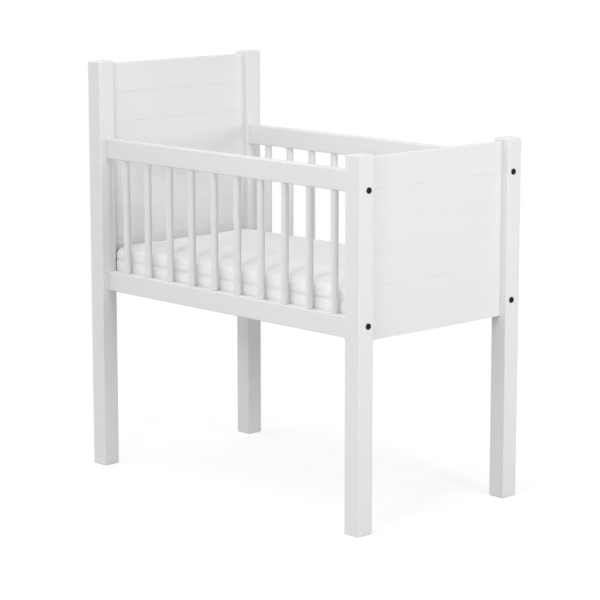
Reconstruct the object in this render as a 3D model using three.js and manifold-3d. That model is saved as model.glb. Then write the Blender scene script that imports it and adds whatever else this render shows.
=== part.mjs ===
import * as THREE from 'three';
import { RoundedBoxGeometry } from 'three/addons/geometries/RoundedBoxGeometry.js';
import { mergeVertices } from 'three/addons/utils/BufferGeometryUtils.js';
import Module from 'manifold-3d';

// A cradle on four straight corner posts, with barred sides, boarded ends, a slatted base
// and a loose mattress. Millimetres. +X runs from the head end to the foot end, +Y to the
// far side and +Z up. The origin is on the floor under the middle.

const wasm = await Module();
wasm.setup();

// Frame
const frameLength = 866;
const frameWidth = 490;

// Corner posts, square in section
const postWidth = 42;
const footPostHeight = 790;
const headRise = 140;
const postEdgeRadius = 3;

// End panels, let into grooves in the posts
const panelThickness = 10;
const panelRecess = 16;
const panelDrop = 6;
const panelLip = 4;
const tongueToDowel = 2.5;
const panelEdgeRadius = 3;

// Boards marked out on the end panels by V grooves
const boardHeight = 67;
const boardGrooveWidth = 2.4;
const boardGrooveDepth = 1.2;

// Side rails
const railHeight = 45;
const railThickness = 21;
const railSetback = 17;
const railEdgeRadius = 3;
const bottomRailUnderside = 409;
const topRailDrop = 34;

// Bars between the rails, with a tenon turned on each end
const barDiameter = 16;
const barCount = 10;
const firstBarFromPost = 57;
const tenonDiameter = 10;
const tenonLength = 12;

// Connector bolts, through the posts into threaded inserts in the rail ends
const boltDiameter = 6;
const boltHeadDiameter = 13;
const boltHeadHeight = 2;
const boltHeadEdge = 0.6;
const boltKeySize = 4;
const boltKeyDepth = 1.6;
const boltTipGap = 3;
const boltFromRailFace = 9;
const topBoltAboveUnderside = 7.5;
const bottomBoltBelowTop = 14;
const insertWall = 1.45;
const insertLength = 20;
const insertSink = 1;

// Locating dowels, glued into the rail ends and housed in the posts
const dowelDiameter = 8;
const dowelLength = 30;
const topDowelBelowTop = 15;
const bottomDowelAboveUnderside = 12;

// Mattress base: slats on a cleat along each bottom rail
const baseDrop = 16;
const slatCount = 9;
const slatWidth = 60;
const slatThickness = 10;
const slatEdgeRadius = 2;
const slatEndGap = 1.5;
const slatToPanelGap = 2;
const slatSeatLength = 13;
const cleatHeight = 18;
const cleatEdgeRadius = 1.5;
const cleatToPostGap = 5;

// Mattress
const mattressThickness = 70;
const mattressEndGap = 7;
const mattressSideGap = 3;
const mattressCorner = 45;
const mattressEdgeRadius = 16;
const mattressCrown = 4;
const mattressDrawIn = 3;
const mattressSeamHeight = 36;
const mattressSeamDepth = 2;
const mattressSeamWidth = 5;

// Clearance between touching pieces, and how far a cutting tool runs past a face
const fitGap = 0.3;
const overrun = 1;

// Facets
const roundSides = 16;
const keySides = 6;
const edgeSteps = 3;
const postEdgeSteps = 2;
const mattressCornerSteps = 3;
const mattressLengthSteps = 10;
const mattressWidthSteps = 6;

// Places that follow from the sizes above
const headPostHeight = footPostHeight + headRise;
const postCentreX = frameLength / 2 - postWidth / 2;
const postCentreY = frameWidth / 2 - postWidth / 2;
const betweenPostsX = frameLength - 2 * postWidth;
const betweenPostsY = frameWidth - 2 * postWidth;
const panelUnderside = bottomRailUnderside - panelLip;
const panelCentreX = frameLength / 2 - panelRecess - panelThickness / 2;
const panelInnerX = panelCentreX - panelThickness / 2;
const railCentreY = frameWidth / 2 - railSetback - railThickness / 2;
const railInnerY = railCentreY - railThickness / 2;
const bottomRailTop = bottomRailUnderside + railHeight;
const topRailUnderside = footPostHeight - topRailDrop - railHeight;
const railLength = betweenPostsX - 2 * fitGap;
const boltY = frameWidth / 2 - railSetback - boltFromRailFace;
const dowelInnerEdge = railSetback + railThickness / 2 + dowelDiameter / 2;
const tongueDepth = postWidth - dowelInnerEdge - tongueToDowel;
const boltBore = boltDiameter + 2 * fitGap;
const insertDiameter = boltBore + 2 * insertWall;
const baseTop = bottomRailTop - baseDrop;
const slatCentreZ = baseTop - slatThickness / 2;
const innerHalfWidth = Math.min(betweenPostsY / 2, railInnerY);
const slatHalfLength = innerHalfWidth - slatEndGap;
const cleatLength = betweenPostsX - 2 * cleatToPostGap;
const cleatDepth = railInnerY - fitGap - slatHalfLength + slatSeatLength;
const cleatCentreY = railInnerY - fitGap - cleatDepth / 2;
const cleatTop = baseTop - slatThickness - fitGap;
const cleatCentreZ = cleatTop - cleatHeight / 2;

// The four ways round the frame: each end with each side
const ends = [-1, 1];
const sides = [-1, 1];
const corners = ends.flatMap((end) => sides.map((side) => ({ end, side })));

// The two rails of a side, with their bolts and dowels as heights above a rail's underside
const railLevels = [
  {
    level: 'top',
    underside: topRailUnderside,
    boltUp: topBoltAboveUnderside,
    dowelUp: railHeight - topDowelBelowTop,
    barFace: -1,
  },
  {
    level: 'bottom',
    underside: bottomRailUnderside,
    boltUp: railHeight - bottomBoltBelowTop,
    dowelUp: bottomDowelAboveUnderside,
    barFace: 1,
  },
];

// Finishes
const paint = { color: 0xf1f1f0, roughness: 0.42, metalness: 0 };
const panelPaint = { color: 0xf3f3f2, roughness: 0.45, metalness: 0 };
const bareWood = { color: 0xd9bd92, roughness: 0.7, metalness: 0 };
const blackSteel = { color: 0x1c1c1d, roughness: 0.45, metalness: 0.7 };
const plated = { color: 0xc9c4b4, roughness: 0.35, metalness: 0.9 };
const cover = { color: 0xf6f6f5, roughness: 0.9, metalness: 0 };

const cradle = new THREE.Group();
cradle.name = 'cradle';

function addPiece(name, geometry, finish, x, y, z) {
  const mesh = new THREE.Mesh(geometry, new THREE.MeshStandardMaterial(finish));
  mesh.name = name;
  mesh.position.set(x, y, z);
  cradle.add(mesh);
}

// Turns a closed geometry into a solid that can be cut.
function toSolid(geometry) {
  const bare = geometry.clone();
  bare.deleteAttribute('normal');
  bare.deleteAttribute('uv');
  const merged = mergeVertices(bare);
  const vertProperties = new Float32Array(merged.attributes.position.array);
  const triVerts = new Uint32Array(merged.index.array);
  return new wasm.Manifold(new wasm.Mesh({ numProp: 3, vertProperties, triVerts }));
}

function toGeometry(solid) {
  const mesh = solid.getMesh();
  const geometry = new THREE.BufferGeometry();
  geometry.setAttribute('position', new THREE.BufferAttribute(mesh.vertProperties, 3));
  geometry.setIndex(new THREE.BufferAttribute(mesh.triVerts, 1));
  return geometry;
}

// Joins the additions to a blank, then cuts every tool out of it.
function shaped(blank, tools, additions = []) {
  let solid = toSolid(blank);
  for (const addition of additions) {
    solid = solid.add(toSolid(addition));
  }
  for (const tool of tools) {
    solid = solid.subtract(toSolid(tool));
  }
  return toGeometry(solid);
}

// A rod along Z, X or Y, centred on the origin.
function rod(diameter, length, axis, facets = roundSides) {
  const geometry = new THREE.CylinderGeometry(diameter / 2, diameter / 2, length, facets);
  geometry.rotateX(Math.PI / 2);
  if (axis === 'x') geometry.rotateY(Math.PI / 2);
  if (axis === 'y') geometry.rotateX(Math.PI / 2);
  return geometry;
}

// A rectangle with round corners, centred on the origin of its plane.
function roundedRectangle(width, height, radius) {
  const right = width / 2 - radius;
  const top = height / 2 - radius;
  const shape = new THREE.Shape();
  shape.absarc(right, top, radius, 0, Math.PI / 2);
  shape.absarc(-right, top, radius, Math.PI / 2, Math.PI);
  shape.absarc(-right, -top, radius, Math.PI, 1.5 * Math.PI);
  shape.absarc(right, -top, radius, 1.5 * Math.PI, 2 * Math.PI);
  shape.closePath();
  return shape;
}

// A planed length of wood with eased long edges, centred, running along X.
function plankAlongX(length, depth, height, radius) {
  const shape = roundedRectangle(depth, height, radius);
  const settings = { depth: length, bevelEnabled: false, curveSegments: edgeSteps };
  const geometry = new THREE.ExtrudeGeometry(shape, settings);
  geometry.translate(0, 0, -length / 2);
  geometry.rotateX(Math.PI / 2);
  geometry.rotateZ(Math.PI / 2);
  return geometry;
}

function plankAlongY(length, width, height, radius) {
  const geometry = plankAlongX(length, width, height, radius);
  geometry.rotateZ(Math.PI / 2);
  return geometry;
}

// A lathe-turned piece whose profile points are [radius, height] pairs along +Z.
function turned(profile, facets) {
  const points = profile.map(([radius, height]) => new THREE.Vector2(radius, height));
  const geometry = new THREE.LatheGeometry(points, facets);
  geometry.rotateX(Math.PI / 2);
  return geometry;
}

// Turns a piece that points along +Z until it points along X, towards one end.
function pointAlongX(geometry, end) {
  geometry.rotateY((end * Math.PI) / 2);
  return geometry;
}

// Corner posts, bored for bolts and dowels and grooved for the end panel
function postTools(end, side, height) {
  const tools = [];
  const boltHole = rod(boltBore, postWidth + 2 * overrun, 'x');
  const dowelReach = dowelLength / 2 + fitGap + overrun;
  const dowelHole = rod(dowelDiameter + 2 * fitGap, dowelReach, 'x');
  const dowelX = -end * (postWidth / 2 + overrun - dowelReach / 2);
  const boltOffset = side * (boltY - postCentreY);
  const dowelOffset = side * (railCentreY - postCentreY);
  for (const { underside, boltUp, dowelUp } of railLevels) {
    tools.push(boltHole.clone().translate(0, boltOffset, underside + boltUp));
    tools.push(dowelHole.clone().translate(dowelX, dowelOffset, underside + dowelUp));
  }
  const grooveBottom = panelUnderside - fitGap;
  const grooveTop = height - panelDrop + fitGap;
  const grooveDepth = tongueDepth + fitGap + overrun;
  const groove = new THREE.BoxGeometry(
    panelThickness + 2 * fitGap,
    grooveDepth,
    grooveTop - grooveBottom,
  );
  groove.translate(
    end * (panelCentreX - postCentreX),
    -side * (postWidth / 2 + overrun - grooveDepth / 2),
    (grooveTop + grooveBottom) / 2,
  );
  tools.push(groove);
  return tools;
}

function addPosts() {
  for (const { end, side } of corners) {
    const height = end < 0 ? headPostHeight : footPostHeight;
    const name = `${end < 0 ? 'head' : 'foot'}_post_${side < 0 ? 'near' : 'far'}`;
    const blank = new RoundedBoxGeometry(
      postWidth,
      postWidth,
      height,
      postEdgeSteps,
      postEdgeRadius,
    );
    blank.translate(0, 0, height / 2);
    const geometry = shaped(blank, postTools(end, side, height));
    addPiece(name, geometry, paint, end * postCentreX, side * postCentreY, 0);
  }
}

// Adds the side of a panel's outline, going up, with a V groove between boards.
function addBoardedEdge(outline, face, bottom, top) {
  const outward = Math.sign(face);
  const bottomBoard = Math.ceil((top - bottom) / boardHeight) - 1;
  for (let board = bottomBoard; board > 0; board -= 1) {
    const groove = top - board * boardHeight;
    outline.push([face, groove - boardGrooveWidth / 2]);
    outline.push([face - outward * boardGrooveDepth, groove]);
    outline.push([face, groove + boardGrooveWidth / 2]);
  }
  for (let step = 0; step <= edgeSteps; step += 1) {
    const angle = (step / edgeSteps) * (Math.PI / 2);
    outline.push([
      face - outward * panelEdgeRadius * (1 - Math.cos(angle)),
      top - panelEdgeRadius * (1 - Math.sin(angle)),
    ]);
  }
}

// An end panel, extruded across the cradle, with its grooves on both faces.
function panel(top) {
  const half = panelThickness / 2;
  const right = [[half, panelUnderside]];
  const left = [[-half, panelUnderside]];
  addBoardedEdge(right, half, panelUnderside, top);
  addBoardedEdge(left, -half, panelUnderside, top);
  const outline = [...right, ...left.reverse()];
  const shape = new THREE.Shape(outline.map(([x, z]) => new THREE.Vector2(x, z)));
  const width = betweenPostsY + 2 * tongueDepth;
  const geometry = new THREE.ExtrudeGeometry(shape, { depth: width, bevelEnabled: false });
  geometry.translate(0, 0, -width / 2);
  geometry.rotateX(Math.PI / 2);
  return geometry;
}

function addPanels() {
  addPiece('head_panel', panel(headPostHeight - panelDrop), panelPaint, -panelCentreX, 0, 0);
  addPiece('foot_panel', panel(footPostHeight - panelDrop), panelPaint, panelCentreX, 0, 0);
}

// Where the bars stand along a rail
function barPlaces() {
  const pitch = (betweenPostsX - 2 * firstBarFromPost) / (barCount - 1);
  const first = firstBarFromPost - betweenPostsX / 2;
  return Array.from({ length: barCount }, (_, bar) => first + bar * pitch);
}

// Side rails, bored for the bars and the inserts, with a glued dowel at each end
function railTools(side, { boltUp, barFace }) {
  const insertReach = insertSink + insertLength + fitGap + overrun;
  const insertHole = rod(insertDiameter + 2 * fitGap, insertReach, 'x');
  const insertX = railLength / 2 + overrun - insertReach / 2;
  const insertY = side * (boltY - railCentreY);
  const insertZ = boltUp - railHeight / 2;
  const insertHoles = ends.map((end) =>
    insertHole.clone().translate(end * insertX, insertY, insertZ),
  );
  const mortiseReach = tenonLength + fitGap + overrun;
  const mortise = rod(tenonDiameter + 2 * fitGap, mortiseReach, 'z');
  const mortiseZ = barFace * (railHeight / 2 + overrun - mortiseReach / 2);
  const mortises = barPlaces().map((x) => mortise.clone().translate(x, 0, mortiseZ));
  return [...insertHoles, ...mortises];
}

function railDowels({ dowelUp }) {
  const dowel = rod(dowelDiameter, dowelLength, 'x');
  const dowelZ = dowelUp - railHeight / 2;
  return ends.map((end) => dowel.clone().translate((end * railLength) / 2, 0, dowelZ));
}

function addRails() {
  for (const side of sides) {
    for (const rail of railLevels) {
      const name = `${side < 0 ? 'near' : 'far'}_${rail.level}_rail`;
      const blank = plankAlongX(railLength, railThickness, railHeight, railEdgeRadius);
      const geometry = shaped(blank, railTools(side, rail), railDowels(rail));
      const centreZ = rail.underside + railHeight / 2;
      addPiece(name, geometry, paint, 0, side * railCentreY, centreZ);
    }
  }
}

// A bar along Z, centred, whose shoulders stand just clear of the rails
function turnedBar() {
  const shoulder = (topRailUnderside - bottomRailTop) / 2 - fitGap;
  const tip = (topRailUnderside - bottomRailTop) / 2 + tenonLength;
  const profile = [
    [0, -tip],
    [tenonDiameter / 2, -tip],
    [tenonDiameter / 2, -shoulder],
    [barDiameter / 2, -shoulder],
    [barDiameter / 2, shoulder],
    [tenonDiameter / 2, shoulder],
    [tenonDiameter / 2, tip],
    [0, tip],
  ];
  return turned(profile, roundSides);
}

function addBars() {
  const centreZ = (topRailUnderside + bottomRailTop) / 2;
  for (const side of sides) {
    barPlaces().forEach((x, index) => {
      const name = `${side < 0 ? 'near' : 'far'}_bar_${index + 1}`;
      addPiece(name, turnedBar(), paint, x, side * railCentreY, centreZ);
    });
  }
}

// A connector bolt, its head's underside at the origin and its head along +Z
function connectorBolt() {
  const shank = postWidth + insertSink + insertLength - boltTipGap;
  const profile = [
    [0, -shank],
    [boltDiameter / 2, -shank],
    [boltDiameter / 2, 0],
    [boltHeadDiameter / 2, 0],
    [boltHeadDiameter / 2, boltHeadHeight - boltHeadEdge],
    [boltHeadDiameter / 2 - boltHeadEdge, boltHeadHeight],
    [0, boltHeadHeight],
  ];
  const key = rod(boltKeySize / Math.cos(Math.PI / keySides), boltKeyDepth + overrun, 'z', keySides);
  key.translate(0, 0, boltHeadHeight + overrun - (boltKeyDepth + overrun) / 2);
  return shaped(turned(profile, roundSides), [key]);
}

// A threaded sleeve along Z, centred
function threadedInsert() {
  const bore = rod(boltBore, insertLength + 2 * overrun, 'z');
  return shaped(rod(insertDiameter, insertLength, 'z'), [bore]);
}

function addJointHardware() {
  const insertX = railLength / 2 - insertSink - insertLength / 2;
  const headX = frameLength / 2 + fitGap;
  for (const { end, side } of corners) {
    const corner = `${end < 0 ? 'head' : 'foot'}_${side < 0 ? 'near' : 'far'}`;
    for (const { level, underside, boltUp } of railLevels) {
      const boltZ = underside + boltUp;
      const bolt = pointAlongX(connectorBolt(), end);
      addPiece(`bolt_${corner}_${level}`, bolt, blackSteel, end * headX, side * boltY, boltZ);
      const insert = pointAlongX(threadedInsert(), end);
      addPiece(`insert_${corner}_${level}`, insert, plated, end * insertX, side * boltY, boltZ);
    }
  }
}

// Where the slats lie along the cradle
function slatPlaces() {
  const span = 2 * (panelInnerX - slatToPanelGap) - slatWidth;
  const pitch = span / (slatCount - 1);
  return Array.from({ length: slatCount }, (_, slat) => slat * pitch - span / 2);
}

function addBase() {
  for (const side of sides) {
    const name = `${side < 0 ? 'near' : 'far'}_cleat`;
    const cleat = plankAlongX(cleatLength, cleatDepth, cleatHeight, cleatEdgeRadius);
    addPiece(name, cleat, bareWood, 0, side * cleatCentreY, cleatCentreZ);
  }
  slatPlaces().forEach((x, index) => {
    const slat = plankAlongY(2 * slatHalfLength, slatWidth, slatThickness, slatEdgeRadius);
    addPiece(`base_slat_${index + 1}`, slat, bareWood, x, 0, slatCentreZ);
  });
}

// The mattress is a grid over its plan: u runs along it and v across, each from -1 to 1.
const mattressHalfLength = panelInnerX - mattressEndGap;
const mattressHalfWidth = innerHalfWidth - mattressSideGap;
const belowSeam = mattressSeamHeight - mattressSeamWidth;
const aboveSeam = mattressThickness - mattressSeamHeight - mattressSeamWidth;
const mattressRound = Math.min(mattressEdgeRadius, belowSeam, aboveSeam);

// Grid lines along one direction, closer together where the corners turn
function gridLines(half, steps) {
  const straight = 1 - mattressCorner / half;
  const lines = [];
  for (let step = 0; step < mattressCornerSteps; step += 1) {
    lines.push(-1 + ((1 - straight) * step) / mattressCornerSteps);
  }
  for (let step = 0; step <= steps; step += 1) {
    lines.push(straight * ((2 * step) / steps - 1));
  }
  for (let step = 1; step <= mattressCornerSteps; step += 1) {
    lines.push(straight + ((1 - straight) * step) / mattressCornerSteps);
  }
  return lines;
}

// Where a grid point lies in plan, on an outline set in by the given amount
function planPoint(u, v, inset) {
  const halfX = mattressHalfLength - inset;
  const halfY = mattressHalfWidth - inset;
  const radius = mattressCorner - inset;
  let x = Math.abs(u) * halfX;
  let y = Math.abs(v) * halfY;
  const alongX = Math.max(0, (x - halfX + radius) / radius);
  const alongY = Math.max(0, (y - halfY + radius) / radius);
  if (alongX > 0 && alongY > 0) {
    x = halfX - radius + radius * alongX * Math.sqrt(1 - alongY ** 2 / 2);
    y = halfY - radius + radius * alongY * Math.sqrt(1 - alongX ** 2 / 2);
  }
  x -= mattressDrawIn * u ** 4 * (1 - v ** 2);
  y -= mattressDrawIn * v ** 4 * (1 - u ** 2);
  return [Math.sign(u) * x, Math.sign(v) * y];
}

// How far in and how high each ring of the side lies, from the bottom face to the top one
function sideRings() {
  const rings = [];
  const radius = mattressRound;
  for (let step = 0; step <= edgeSteps; step += 1) {
    const angle = (step / edgeSteps) * (Math.PI / 2);
    rings.push([radius * (1 - Math.sin(angle)), radius * (1 - Math.cos(angle))]);
  }
  rings.push([0, mattressSeamHeight - mattressSeamWidth / 2]);
  rings.push([mattressSeamDepth, mattressSeamHeight]);
  rings.push([0, mattressSeamHeight + mattressSeamWidth / 2]);
  for (let step = 0; step <= edgeSteps; step += 1) {
    const angle = (step / edgeSteps) * (Math.PI / 2);
    const inset = radius * (1 - Math.cos(angle));
    rings.push([inset, mattressThickness - radius * (1 - Math.sin(angle))]);
  }
  return rings;
}

// The grid's edge, once round, counter-clockwise from above
function gridEdge(us, vs) {
  const back = (lines) => [...lines].reverse();
  return [
    ...us.slice(0, -1).map((u) => [u, -1]),
    ...vs.slice(0, -1).map((v) => [1, v]),
    ...back(us).slice(0, -1).map((u) => [u, 1]),
    ...back(vs).slice(0, -1).map((v) => [-1, v]),
  ];
}

function mattressGeometry() {
  const us = gridLines(mattressHalfLength, mattressLengthSteps);
  const vs = gridLines(mattressHalfWidth, mattressWidthSteps);
  const places = [];
  const quad = (a, b, c, d) => places.push(...a, ...b, ...c, ...a, ...c, ...d);
  const onFace = (u, v, isTop) => {
    const crown = isTop ? mattressCrown * (1 - u ** 2) * (1 - v ** 2) : 0;
    return [...planPoint(u, v, mattressRound), (isTop ? mattressThickness : 0) + crown];
  };
  for (let i = 1; i < us.length; i += 1) {
    for (let j = 1; j < vs.length; j += 1) {
      const ring = [[i - 1, j - 1], [i, j - 1], [i, j], [i - 1, j]];
      quad(...ring.map(([m, n]) => onFace(us[m], vs[n], true)));
      quad(...ring.reverse().map(([m, n]) => onFace(us[m], vs[n], false)));
    }
  }
  const edge = gridEdge(us, vs);
  const rings = sideRings();
  for (let level = 1; level < rings.length; level += 1) {
    edge.forEach((start, index) => {
      const stop = edge[(index + 1) % edge.length];
      const [low, high] = [rings[level - 1], rings[level]];
      const at = ([u, v], [inset, z]) => [...planPoint(u, v, inset), z];
      quad(at(start, low), at(stop, low), at(stop, high), at(start, high));
    });
  }
  const geometry = new THREE.BufferGeometry();
  geometry.setAttribute('position', new THREE.Float32BufferAttribute(places, 3));
  return mergeVertices(geometry);
}

function addMattress() {
  addPiece('mattress', mattressGeometry(), cover, 0, 0, baseTop + fitGap);
}

addPosts();
addPanels();
addRails();
addBars();
addJointHardware();
addBase();
addMattress();

export default cradle;
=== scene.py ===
"""A white cradle on four posts, with barred sides, boarded ends and a mattress.

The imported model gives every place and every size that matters. This file gives the
pieces their finished surfaces, the mattress its padded form, and the picture its floor,
its light and its camera. Lengths are in metres.
"""

import logging
import math
from collections.abc import Callable, Iterable
from dataclasses import asdict, dataclass
from enum import Enum, StrEnum
from functools import cache

import bmesh
import bpy
from mathutils import Matrix, Vector
from mathutils.bvhtree import BVHTree


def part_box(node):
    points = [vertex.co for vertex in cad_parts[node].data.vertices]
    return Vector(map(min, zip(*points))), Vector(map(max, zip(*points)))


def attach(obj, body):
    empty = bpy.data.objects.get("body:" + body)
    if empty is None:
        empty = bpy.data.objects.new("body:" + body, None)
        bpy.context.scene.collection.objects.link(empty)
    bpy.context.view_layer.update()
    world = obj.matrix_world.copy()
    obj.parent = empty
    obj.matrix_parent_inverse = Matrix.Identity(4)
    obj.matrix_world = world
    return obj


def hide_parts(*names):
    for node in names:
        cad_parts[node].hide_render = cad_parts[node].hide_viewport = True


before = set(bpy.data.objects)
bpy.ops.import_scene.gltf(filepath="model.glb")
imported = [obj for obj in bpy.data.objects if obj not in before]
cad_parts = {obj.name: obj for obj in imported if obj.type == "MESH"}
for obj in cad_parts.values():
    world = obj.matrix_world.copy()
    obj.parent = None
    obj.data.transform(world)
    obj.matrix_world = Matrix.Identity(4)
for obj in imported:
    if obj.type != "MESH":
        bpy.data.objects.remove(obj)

log = logging.getLogger("cradle")

# The room that is left between a piece and the hole that it goes into.
FIT_GAP = 0.0003

# Faces that meet at less than this are shaded as one round surface.
SMOOTH_ANGLE = math.radians(35)

# A number that counts as nothing beside any size here.
TINY = 1e-9

Color = tuple[float, float, float, float]
Span = tuple[float, float]
Outline = list[tuple[float, float]]
Ring = list[Vector]
GroupBuilder = Callable[[], bpy.types.NodeTree]

# Nearly all of a noise texture's values lie between these two.
NOISE_SPAN: Span = (0.3, 0.7)


class Axis(Enum):
    """The row axis that a length of wood runs along."""

    X = 0
    Y = 1
    Z = 2


class Recess(Enum):
    """The hole in a fastener's head that its driver goes into."""

    HEXAGON = "hexagon"
    CROSS = "cross"


class End(StrEnum):
    """An end of the cradle."""

    HEAD = "head"
    FOOT = "foot"

    @property
    def sign(self) -> int:
        """The way that this end faces along X."""
        return 1 if self is End.FOOT else -1


class Side(StrEnum):
    """A long side of the cradle."""

    NEAR = "near"
    FAR = "far"

    @property
    def sign(self) -> int:
        """The way that this side faces along Y."""
        return 1 if self is Side.FAR else -1


class Level(StrEnum):
    """Which of a side's two rails something belongs to."""

    TOP = "top"
    BOTTOM = "bottom"


@dataclass(frozen=True)
class Block:
    """The room between two opposite corners of a box that lies along the row axes."""

    low: Vector
    high: Vector

    @staticmethod
    def of_node(node: str) -> "Block":
        """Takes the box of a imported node.

        Args:
            node: The node's name.

        Returns:
            The box round that node at rest.
        """
        low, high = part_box(node)
        return Block(low, high)

    @property
    def centre(self) -> Vector:
        """The middle of the box."""
        return (self.low + self.high) / 2

    @property
    def size(self) -> Vector:
        """The box's length along each row axis."""
        return self.high - self.low

    def face(self, axis: Axis, sign: int) -> float:
        """Returns where the face that looks along an axis lies on that axis."""
        return (self.high if sign > 0 else self.low)[axis.value]

    def grown(self, margin: float) -> "Block":
        """Returns a box that is larger by the margin on every side."""
        by = Vector((margin, margin, margin))
        return Block(self.low - by, self.high + by)


class NodeMaker:
    """Adds nodes to a shader or geometry tree and joins their sockets."""

    def __init__(self, tree: bpy.types.NodeTree) -> None:
        """Keeps the tree and empties it.

        Args:
            tree: The tree to fill.
        """
        self.tree = tree
        tree.nodes.clear()

    def add(
        self, kind: str, inputs: dict | None = None, **settings: object
    ) -> bpy.types.Node:
        """Adds one node.

        Args:
            kind: The node's type name.
            inputs: Values for its input sockets, by name or by number. A value that is
                itself a socket is joined to the input.
            settings: The node's own properties.

        Returns:
            The new node.
        """
        node = self.tree.nodes.new(kind)
        for name, value in settings.items():
            setattr(node, name, value)
        for key, value in (inputs or {}).items():
            self.feed(node.inputs[key], value)
        return node

    def feed(self, socket: bpy.types.NodeSocket, value: object) -> None:
        """Sets an input socket to a value, or joins it to an output socket.

        Args:
            socket: The input socket.
            value: The value or the output socket.
        """
        if isinstance(value, bpy.types.NodeSocket):
            self.tree.links.new(value, socket)
        else:
            socket.default_value = value

    def number(self, operation: str, *values: object) -> bpy.types.NodeSocket:
        """Adds a node that works on numbers and returns its result."""
        inputs = dict(enumerate(values))
        return self.add("ShaderNodeMath", inputs, operation=operation).outputs[0]

    def vector(self, operation: str, *values: object) -> bpy.types.NodeSocket:
        """Adds a node that works on vectors and returns the vector that it makes."""
        inputs = dict(enumerate(values))
        return self.add("ShaderNodeVectorMath", inputs, operation=operation).outputs[0]

    def scaled(self, vector: object, by: object) -> bpy.types.NodeSocket:
        """Adds a node that scales a vector and returns its result."""
        inputs = {0: vector, "Scale": by}
        return self.add("ShaderNodeVectorMath", inputs, operation="SCALE").outputs[0]

    def noise(
        self, place: object, scale: object, detail: float, roughness: float = 0.5
    ) -> bpy.types.NodeOutputs:
        """Adds a noise texture.

        Args:
            place: Where it is read.
            scale: How fine it is.
            detail: The number of finer layers on it.
            roughness: How strongly those show.

        Returns:
            Its outputs, Fac and Color.
        """
        inputs = {
            "Vector": place,
            "Scale": scale,
            "Detail": detail,
            "Roughness": roughness,
        }
        return self.add("ShaderNodeTexNoise", inputs).outputs

    def ranged(
        self, value: object, given: Span = (0.0, 1.0), wanted: Span = (0.0, 1.0)
    ) -> bpy.types.NodeSocket:
        """Maps one range of numbers on to another.

        Args:
            value: The number to map.
            given: The range that it comes from.
            wanted: The range that it goes to.

        Returns:
            The output socket that carries the result.
        """
        inputs = {
            "Value": value,
            "From Min": given[0],
            "From Max": given[1],
            "To Min": wanted[0],
            "To Max": wanted[1],
        }
        return self.add("ShaderNodeMapRange", inputs).outputs[0]

    def bump(
        self, height: object, relief: "Relief", under: object = None
    ) -> bpy.types.NodeSocket:
        """Turns a height into a surface normal.

        Args:
            height: The height, from 0 to 1.
            relief: How deep it is and how strongly it shows.
            under: The normal of the relief that it lies on, if there is one.

        Returns:
            The normal's socket.
        """
        inputs = {
            "Height": height,
            "Distance": relief.depth,
            "Strength": relief.strength,
        }
        if under is not None:
            inputs["Normal"] = under
        return self.add("ShaderNodeBump", inputs).outputs["Normal"]

    def line(self, count: object, start: object, step: object) -> bpy.types.NodeSocket:
        """Adds a row of points and returns its socket."""
        inputs = {"Count": count, "Start Location": start, "Offset": step}
        return self.add("GeometryNodeMeshLine", inputs, mode="OFFSET").outputs[0]

    def copies(
        self,
        points: object,
        piece: object,
        finish: object,
        placing: dict[str, object] | None = None,
    ) -> bpy.types.NodeSocket:
        """Copies a piece to points, as one real mesh in its finish.

        Args:
            points: The points.
            piece: The piece's geometry.
            finish: Its material.
            placing: The copies' Rotation and Scale, where they have them.

        Returns:
            The mesh's socket.
        """
        row = self.add(
            "GeometryNodeInstanceOnPoints",
            {"Points": points, "Instance": piece, **(placing or {})},
        )
        real = self.add("GeometryNodeRealizeInstances", {0: row.outputs[0]})
        inputs = {"Geometry": real.outputs[0], "Material": finish}
        return self.add("GeometryNodeSetMaterial", inputs).outputs[0]

    def blend(
        self, share: object, first: object, second: object, data_type: str = "RGBA"
    ) -> bpy.types.NodeSocket:
        """Mixes two colours or two numbers.

        Args:
            share: How much there is of the second one, from 0 to 1.
            first: The first one.
            second: The second one.
            data_type: RGBA for colours, FLOAT for numbers.

        Returns:
            The output socket that carries the result.
        """
        node = self.add("ShaderNodeMix", data_type=data_type)
        inputs = [s for s in node.inputs if s.enabled]
        for socket, value in zip(inputs, (share, first, second), strict=True):
            self.feed(socket, value)
        return next(s for s in node.outputs if s.enabled)


def new_group(
    name: str, kind: str, inputs: dict[str, tuple], outputs: dict[str, str]
) -> bpy.types.NodeTree:
    """Makes an empty node group with named sockets.

    Args:
        name: The group's name.
        kind: ShaderNodeTree or GeometryNodeTree.
        inputs: Each input's socket type and its value, or the type alone.
        outputs: Each output's socket type.

    Returns:
        The group.
    """
    group = bpy.data.node_groups.new(name, kind)
    for label, (socket_type, *value) in inputs.items():
        socket = group.interface.new_socket(
            label, in_out="INPUT", socket_type=socket_type
        )
        if value:
            socket.default_value = value[0]
    for label, socket_type in outputs.items():
        group.interface.new_socket(label, in_out="OUTPUT", socket_type=socket_type)
    return group


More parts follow.
